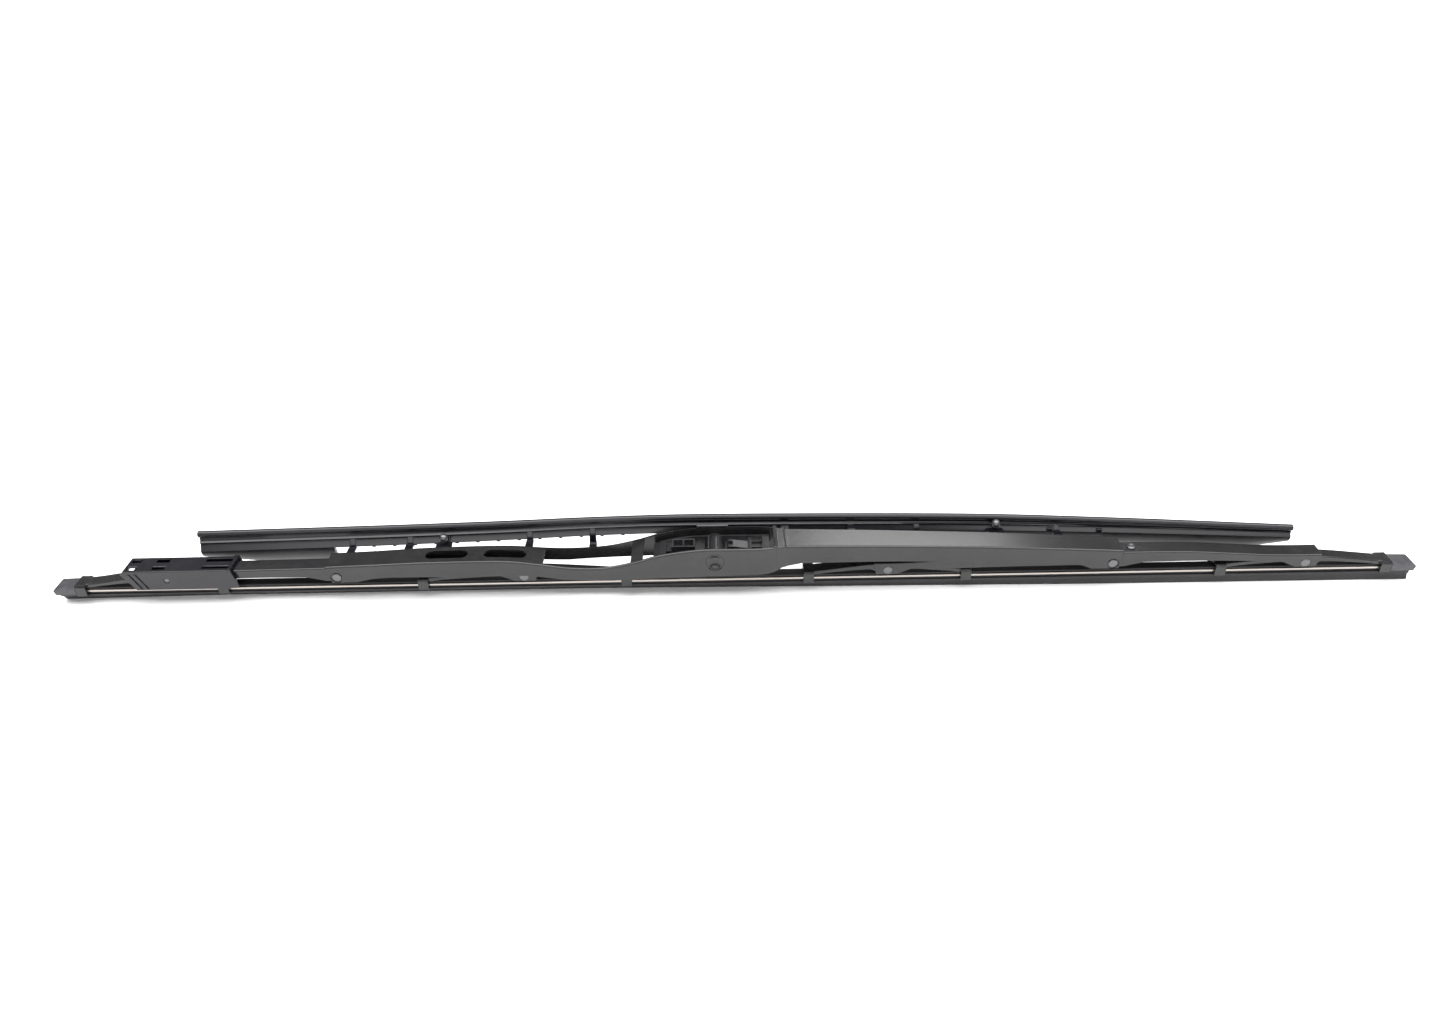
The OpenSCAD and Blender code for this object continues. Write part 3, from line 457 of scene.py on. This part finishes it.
def rivetProfile(shape, shaftRadius, reach):
    # half of it as [radius, distance], then the same in reverse for the other side
    r, top = shape["headRadius"], reach
    under = reach - shape["headHeight"]
    turn = np.linspace(0, 1, 6)
    dome = np.stack([r * 0.86 * turn + 0.02, top - shape["dome"] * turn ** 2], axis=-1)
    rest = np.array([[r * 0.96, top - shape["dome"] - 0.06], [r, top - shape["dome"] - 0.16],
                     [r, under], [shaftRadius, under]])
    half = np.concatenate([dome, rest])
    return np.concatenate([half, half[::-1] * [1, -1]])


def makeRivet(name, nodeName, body, shaftRadius, headHeight):
    low, high = nodeBox(nodeName)
    shape = {**rivetShapes, "headHeight": headHeight}
    profile = rivetProfile(shape, shaftRadius, (high[1] - low[1]) / 2)
    makePiece(name, [turnedAround(profile, nodeCentre(nodeName), "y")], "rivetSteel", body, [nodeName])


makeRivet("leftPivotRivet", "left_pivot_rivet", "main", 2.0, 0.7)
makeRivet("rightPivotRivet", "right_pivot_rivet", "main", 2.0, 0.7)
for letter, side in (("a", "left"), ("b", "left"), ("c", "right"), ("d", "right")):
    makeRivet("yokeRivet" + letter.upper(), "yoke_rivet_" + letter, side + "_secondary", 1.4, 0.5)

# the cross rivet's ends are shallow dishes inside a rolled rim
crossRivet = {"endRadius": 4.3, "shaftRadius": 3.2, "endDepth": 1.2, "dishDepth": 1.5}
reach = nodeBox("cross_rivet")[1][1]
share = np.linspace(0, 1, 9)
dish = np.stack([0.02 + (crossRivet["endRadius"] - 0.55) * share,
                 reach - 0.05 - crossRivet["dishDepth"] * (1 - share ** 1.8)], axis=-1)
endRadius, under = crossRivet["endRadius"], reach - crossRivet["endDepth"]
roll = np.array([[endRadius - 0.3, reach], [endRadius - 0.08, reach - 0.08], [endRadius, reach - 0.3],
                 [endRadius, under], [crossRivet["shaftRadius"], under]])
half = np.concatenate([dish, roll])
profile = np.concatenate([half, half[::-1] * [1, -1]])
makePiece("crossRivet", [turnedAround(profile, nodeCentre("cross_rivet"), "y", 56)], "leverPaint", "main",
          ["cross_rivet"])

# the small eyelet on the right lever's top
low, high = nodeBox("top_boss")
eyelet = np.array([[0.05, high[2] - 0.55], [0.9, high[2] - 0.5], [1.15, high[2] - 0.12], [1.5, high[2]],
                   [1.85, high[2] - 0.12], [2.1, high[2] - 0.45], [2.1, high[2] - 0.6], [1.4, high[2] - 0.65],
                   [1.4, low[2]], [0.05, low[2]]])
eyeletSpot = [(low[0] + high[0]) / 2, (low[1] + high[1]) / 2, 0]
makePiece("topEyelet", [turnedAround(eyelet, eyeletSpot, "z")], "rivetSteel", "right_secondary", ["top_boss"])

# the cover's round catches, one on each side
catch = nodePoints("cover_catch")
catchSpot = nodeCentre("cover_catch")
outside, inside = np.abs(catch[:, 1]).max(), np.abs(catch[:, 1]).min()
button = np.array([[0.02, outside], [0.7, outside - 0.03], [1.02, outside - 0.12], [1.2, outside - 0.32],
                   [1.2, inside], [0.02, inside]])
makePiece("coverCatch", [turnedAround(button * [1, side], [catchSpot[0], 0, catchSpot[2]], "y", 28)
                         for side in (-1, 1)], "rivetSteel", "left_secondary", ["cover_catch"])

for side in ("left", "right"):
    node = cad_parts[side + "_pivot_bush"]
    for materialSlot in node.material_slots:
        materialSlot.material = materials["bushPlastic"]
print("rivets, eyelet and catches made")


# the spoiler: a hollow-faced wing with a bead on top, a moulded ridge, and skirts past the lever's ends
wing = {
    "stations": np.array([  # x, y of the lower edge, its height, rise, lean
        [-250, 13, 18, 8.7, 3], [-165, 13.6, 19.3, 8.5, 2.8], [-105, 14.4, 20.6, 8.2, 2.4],
        [-55, 15, 22.2, 7.9, 2.1], [0, 15.2, 22.6, 7.9, 2], [111.6, 14.4, 21.6, 7.4, 1.8],
        [184.1, 12.5, 20.4, 6.3, 1.7], [279, 10.3, 16.8, 5.1, 1.3]], float),
    "wall": 1.5, "bead": 1.6, "beadIn": 0.5, "hollow": 0.8, "ridge": 0.75, "ridgeAt": 0.46,
    "drop": np.array([  # how far the lower edge hangs below the wing's own, along the blade
        [-250, 3.8], [-240, 5.6], [-225, 8.5], [-185.6, 9.5], [-185.0, 0.3], [-33.6, 0.3], [27.5, 1.9],
        [59.5, 2.1], [188.4, 4.9], [189, 8.5], [260, 8.5], [279, 3.2]]),
    "nubStep": 10.1, "nubs": (-176, -36), "legs": (-176, -148, -89.9, -59.4, 33.5, 65.8, 97.8, 165.4),
    "legWidth": 1.7, "clips": (162.0, 186.0),
}


def wingCurve(steps=16):
    # Catmull-Rom through the stations: each span is a cubic in t from its four nearest stations
    s = wing["stations"]
    padded = np.concatenate([s[:1], s, s[-1:]])
    a, b, c, d = padded[:-3, None], padded[1:-2, None], padded[2:-1, None], padded[3:, None]
    t = np.linspace(0, 1, steps, endpoint=False)[None, :, None]
    curve = 0.5 * (2 * b + (c - a) * t + (2 * a - 5 * b + 4 * c - d) * t ** 2
                   + (3 * b - a - 3 * c + d) * t ** 3)
    return np.concatenate([curve.reshape(-1, 5), s[-1:]])


wingTable = wingCurve()


def wingAt(x):
    # y of the lower edge, its height, rise and lean at places along the blade
    return [np.interp(x, wingTable[:, 0], wingTable[:, k]) for k in (1, 2, 3, 4)]


def wingFace(x, u, out=0.0):
    # the front face at share u of its rise: a lean, a shallow hollow, and the ridge as a narrow hump
    y0, h0, rise, lean = wingAt(x)
    hump = wing["ridge"] * np.exp(-((u - wing["ridgeAt"]) / 0.05) ** 2)
    return y0 + lean * u + wing["hollow"] * np.sin(np.pi * u) - hump + out, h0 + rise * u


def wingSections(x):
    x = np.asarray(x, float)[:, None]
    y0, h0, rise, lean = wingAt(x)
    neck = 1 - 1.1 * wing["bead"] / rise                    # where the faces end and the bead begins
    front = neck * np.linspace(0, 1, 30)[None]
    back = neck * np.linspace(1, 0, 12)[None]
    angle = np.radians(np.linspace(225, -45, 18))[None]
    drop = np.interp(x, *wing["drop"].T)
    frontY, frontH = wingFace(x, front)
    backY = y0 + lean * back + wing["hollow"] * np.sin(np.pi * back) + wing["wall"]
    backH = h0 + rise * back
    beadY = y0 + lean + wing["wall"] / 2 - wing["beadIn"] + wing["bead"] * np.cos(angle)
    beadH = h0 + rise - wing["beadIn"] + wing["bead"] * np.sin(angle)
    down = np.array([[1, 0.7, 0.35]])
    skirtFrontY, skirtFrontH = y0 + 0.36 * drop * down ** 2, h0 - drop * down
    up = down[:, ::-1]
    skirtBackY, skirtBackH = y0 + wing["wall"] + 0.33 * drop * up ** 2, h0 - drop * up
    y = np.concatenate([skirtFrontY, frontY, beadY, backY, skirtBackY], axis=1)
    h = np.concatenate([skirtFrontH, frontH, beadH, backH, skirtBackH], axis=1)
    return np.stack([y, h], axis=-1)


def wingPlaces():
    ends = wing["stations"][[0, -1], 0]
    edges = wing["drop"][:, 0]
    soft = np.array([0.04, 0.3, 0.7])
    return np.unique(np.concatenate([np.linspace(*ends, 190), edges, ends[0] + soft, ends[1] - soft]))


leverPoints = nodePoints("main_lever")
topPoints = leverPoints[leverPoints[:, 2] > -6]
bins = np.linspace(topPoints[:, 0].min(), topPoints[:, 0].max(), 70)
binNumber = np.digitize(topPoints[:, 0], bins)
leverTopLine = (
    np.array([topPoints[binNumber == k, 0].mean() for k in np.unique(binNumber)]),
    np.array([topPoints[binNumber == k, 2].max() - edgeZ for k in np.unique(binNumber)]))


def leverAt(x):
    # the main lever's half width and its top, from the frame's own points near x
    near = leverPoints[np.abs(leverPoints[:, 0] - x) < 9]
    return near[:, 1].max(), np.interp(x, *leverTopLine)


def wingLeg(x, halfWidths, thickness=1.2):
    # from the wing's face down past its lower edge, then in to the lever's back wall
    wallY, topH = leverAt(x)
    footH = topH - 3.2
    y0, h0, _, _ = wingAt(x)
    faceY, faceH = wingFace(np.array(x), 0.36)
    path = [[faceY + 0.5, faceH], [y0 + 0.55, h0 + 0.4], [y0 + 0.5, h0 - 0.5],
            [y0 + 0.3, min(h0 - 1.2, footH + 1.4)], [y0 - 0.5, footH + 0.3], [wallY + 0.3, footH]]
    return curvedBar(path, halfWidths, thickness, x)


def wingDetails():
    middle = wing["legWidth"]
    grids = [wingLeg(x, (middle * 0.8, middle, middle * 1.2)) for x in wing["legs"]]
    for x in np.arange(*wing["nubs"], wing["nubStep"]):       # small nubs under the lower edge
        y0, h0, _, _ = wingAt(x)
        grids.append(roundedBlock([x - 0.9, y0 + 0.1, h0 - 1.0], [x + 0.9, y0 + 1.1, h0 + 0.4], 0.3))
    for x in wing["clips"]:                                   # two clips on the right stretch
        y, h = wingFace(np.array(x), 0.12)
        grids.append(roundedBlock([x - 1.4, y - 0.7, h - 1.6], [x + 1.4, y + 0.6, h + 0.9], 0.35))
    return grids


studPoints = nodePoints("spoiler_studs")
studSpots = []
for side in (-1, 1):
    one = studPoints[studPoints[:, 0] * side > 0]
    studSpots.append((one.min(axis=0) + one.max(axis=0)) / 2)
brackets = [wingLeg(spot[0], (2.2, 3.0, 4.2), 1.1) for spot in studSpots]
sweep = alongBlade(wingPlaces(), wingSections(wingPlaces()))
makePiece("spoiler", [sweep] + wingDetails() + brackets, "spoilerPlastic", "main", ["spoiler_wing"])

# ball studs: a ball on a short neck
ball = {"radius": 2.2, "neck": 1.0}
angle = np.linspace(math.pi / 2 * 0.99, -math.pi / 2 * 0.7, 18)
foot = -ball["radius"]
studProfile = np.concatenate([
    np.stack([ball["radius"] * np.cos(angle), ball["radius"] * np.sin(angle)], axis=-1),
    np.array([[ball["neck"], foot * 0.94], [ball["neck"], foot], [0.05, foot]])])
makePiece("ballStuds", [turnedAround(studProfile, spot, "z", 32) for spot in studSpots], "rivetSteel", "main",
          ["spoiler_studs"], sharp=50)
print("spoiler made")


# rubber and steel strips, cut at the claws and pivots: a stretch held by one body follows that body, a
# stretch held by two is left unattached
lip = {  # how far the lip leans to the front along the blade, and the height where it begins to
    "lean": np.array([[-315, -1.2], [-240, -2.3], [-60, -2.2], [60, -0.4], [180, 1.6], [333, 2.4]]),
    "bend": 5.6,
}
rubberHalf = np.array([  # half width, height above the wiping edge
    [0.45, 0], [0.7, 1.8], [1.25, 3.1], [2.1, 3.7], [2.3, 4.9], [1.3, 5.1], [1.2, 6.5], [2, 6.7], [2, 7.4],
    [1.1, 7.4], [1.1, 8.4], [2.7, 8.4], [2.5, 9.2]])
rubberSection = softLoop(np.concatenate([rubberHalf, rubberHalf[::-1] * [-1, 1]]), 0.28)


def leaning(places, section):
    # below the bend a point moves to the front by lean x (share of the way down) to the power 1.5
    lean = np.interp(places, *lip["lean"].T)[:, None]
    down = np.clip(1 - section[:, 1] / lip["bend"], 0, 1)[None]
    sections = np.repeat(section[None], len(places), axis=0)
    sections[..., 0] -= lean * down ** 1.5
    return sections


def boxSection(nodeName, radius):
    low, high = nodeBox(nodeName)
    corners = np.array([[low[1], low[2]], [high[1], low[2]], [high[1], high[2]], [low[1], high[2]]])
    return softLoop(corners - [0, edgeZ], radius)


claws = []
for letter in "abcd":
    low, high = nodeBox("yoke_" + letter)
    claws += [low[0] + 2.5, high[0] - 2.5]
leftMiddle, rightMiddle = leftPivot[0], rightPivot[0]
start, finishX = nodeBox("wiper_rubber")[0][0], nodeBox("wiper_rubber")[1][0]
stretches = [
    (start, claws[1], ("outer_left_yoke",)),
    (claws[1], leftMiddle, ("outer_left_yoke", "left_secondary")),
    (leftMiddle, claws[2], ("left_secondary", "inner_left_yoke")),
    (claws[2], claws[3], ("inner_left_yoke",)),
    (claws[3], claws[4], ("wiping_element",)),
    (claws[4], claws[5], ("inner_right_yoke",)),
    (claws[5], rightMiddle, ("inner_right_yoke", "right_secondary")),
    (rightMiddle, claws[6], ("right_secondary", "outer_right_yoke")),
    (claws[6], finishX, ("outer_right_yoke",)),
]
wipingPieces = [
    ("rubber", "wiper_rubber", rubberSection, "lipRubber", 0.0),
    ("frontStrip", "front_strip", boxSection("front_strip", 0.15), "stripSteel", 0.5),
    ("backStrip", "back_strip", boxSection("back_strip", 0.15), "stripSteel", 0.5),
]
for pieceName, nodeName, section, finish, inset in wipingPieces:
    for number, (x0, x1, bodies) in enumerate(stretches, 1):
        x0, x1 = max(x0, start + inset), min(x1, finishX - inset)
        places = np.linspace(x0, x1, max(2, int((x1 - x0) / 5)))
        body = bodies[0] if len(bodies) == 1 else None
        sections = leaning(places, section) if pieceName == "rubber" else section
        piece = makePiece(f"{pieceName}{number}", [alongBlade(places, sections)], finish, body, [nodeName])
        if body is None:
            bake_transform(piece)
print("rubber and strips made")


# floor, light and camera
def makeFloor():
    size = 6.0
    mesh = bpy.data.meshes.new("floor")
    signs = ((-1, -1), (1, -1), (1, 1), (-1, 1))
    mesh.from_pydata([(a * size, b * size, edgeZ * mm) for a, b in signs], [], [(0, 1, 2, 3)])
    material = bpy.data.materials.new("paleFloor")
    material.use_nodes = True
    material.node_tree.nodes["Principled BSDF"].inputs["Base Color"].default_value = (0.92, 0.92, 0.92, 1)
    material.node_tree.nodes["Principled BSDF"].inputs["Roughness"].default_value = 0.9
    mesh.materials.append(material)
    floor = bpy.data.objects.new("floor", mesh)
    bpy.context.scene.collection.objects.link(floor)


lights = {  # place, what it points at, width, height, watts, seen in reflections
    "overhead": ((0.0, -0.15, 1.8), (0, 0, 0), 3.6, 1.7, 100, True),
    "backRight": ((0.55, 1.7, 1.3), (0.05, 0, 0), 0.6, 0.4, 4.5, True),
    "farFloor": ((0.0, 2.5, 1.5), (0, 2.3, 0), 5.0, 1.8, 110, False),
    "front": ((0.1, -1.35, 0.75), (0, 0, 0), 2.2, 0.6, 11, True),
}


def makeLight(name, place, target, width, height, watts, inReflections):
    data = bpy.data.lights.new(name, "AREA")
    data.shape = "RECTANGLE"
    data.size, data.size_y, data.energy = width, height, watts
    lamp = bpy.data.objects.new(name, data)
    lamp.location = place
    lamp.rotation_euler = (Vector(target) - Vector(place)).to_track_quat("-Z", "Y").to_euler()
    lamp.visible_glossy = inReflections
    bpy.context.scene.collection.objects.link(lamp)


view = {"elevation": 38.0, "distance": 0.511, "tilt": 4.194, "roll": -1.05, "aside": 0.0039, "lens": 26.16}


def makeCamera():
    # looks along +Y and down, aimed a little above the wiping edge
    down = math.radians(view["elevation"])
    data = bpy.data.cameras.new("camera")
    data.lens, data.sensor_width = view["lens"], 36.0
    data.clip_start = 0.01
    camera = bpy.data.objects.new("camera", data)
    turn = Matrix.Rotation(math.radians(90 - view["elevation"] + view["tilt"]), 4, "X")
    roll = Matrix.Rotation(math.radians(view["roll"]), 4, "Z")
    place = Vector((view["aside"], -view["distance"] * math.cos(down),
                    edgeZ * mm + view["distance"] * math.sin(down)))
    camera.matrix_world = Matrix.Translation(place) @ turn @ roll
    bpy.context.scene.collection.objects.link(camera)
    bpy.context.scene.camera = camera


makeFloor()
for name, values in lights.items():
    makeLight(name, *values)
world = bpy.data.worlds.new("studio")
world.use_nodes = True
world.node_tree.nodes["Background"].inputs["Color"].default_value = (1, 1, 1, 1)
world.node_tree.nodes["Background"].inputs["Strength"].default_value = 0.3
bpy.context.scene.world = world
bpy.context.scene.view_settings.view_transform = "Standard"
makeCamera()
print("stage made")
